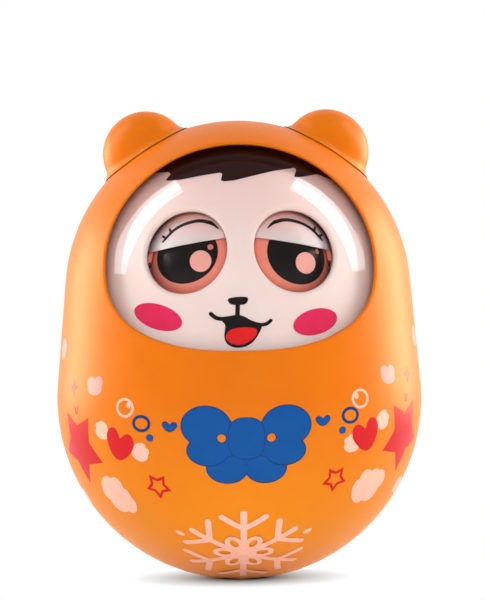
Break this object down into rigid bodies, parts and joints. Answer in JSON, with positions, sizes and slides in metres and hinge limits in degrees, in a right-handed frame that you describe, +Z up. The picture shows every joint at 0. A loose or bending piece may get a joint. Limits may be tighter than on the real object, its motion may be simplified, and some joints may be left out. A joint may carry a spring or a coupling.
{
  "type": "roly poly toy",
  "caption": "Egg-shaped roly poly baby toy with a bear-eared hood, a clear window over an animal face, blinking eyelids on a pendulum, a heavy foot and a chime inside.",
  "frame": {"origin": "centre of the flat foot, on the surface that the toy stands on", "axes": "+Z up along the egg's axis, the face looks towards -Y, +X is the right-hand side seen from the front"},
  "size_m": [0.12, 0.12, 0.154],
  "materials": {
    "orange_plastic": "semi-gloss moulded orange plastic with a fine texture and printed motifs",
    "clear_plastic": "clear glossy moulded window",
    "pink_plastic": "pale pink moulded plastic with a printed animal face",
    "lid_plastic": "pale pink moulded plastic with a printed lash line",
    "salmon_plastic": "glossy salmon plastic with a printed iris",
    "white_plastic": "plain moulded inner parts",
    "steel": "plain zinc-plated steel",
    "chime_steel": "bright nickel-plated steel",
    "iron": "dark cast iron"
  },
  "bodies": {
    "casing": {"front_shell": "orange_plastic", "rear_shell": "orange_plastic", "shell_screws": "steel", "screw_plugs": "orange_plastic", "left_ear": "orange_plastic", "right_ear": "orange_plastic", "face_window": "clear_plastic", "face_plate": "pink_plastic", "face_screws": "steel", "left_eyeball": "salmon_plastic", "right_eyeball": "salmon_plastic", "eyeball_screws": "steel", "eye_bracket": "white_plastic", "bracket_screws": "steel", "ballast": "iron", "chime_base": "white_plastic", "chime_rods": "chime_steel", "chime_bridge": "white_plastic", "chime_screws": "steel", "striker_pin": "steel"},
    "eyelids": {"left_eyelid": "lid_plastic", "right_eyelid": "lid_plastic", "eyelid_shaft": "steel", "pendulum_arm": "lid_plastic", "pendulum_weight": "steel"},
    "striker": {"striker_arm": "white_plastic", "striker_ball": "chime_steel"}
  },
  "joints": [
    {"name": "blink", "type": "hinge", "parent": "casing", "child": "eyelids", "pos_m": [0, -0.02942, 0.101], "axis": [1, 0, 0], "range_deg": [-34, 48]},
    {"name": "striker_swing", "type": "hinge", "parent": "casing", "child": "striker", "pos_m": [0, 0, 0.062], "axis": [1, 0, 0], "range_deg": [-17, 17]}
  ]
}
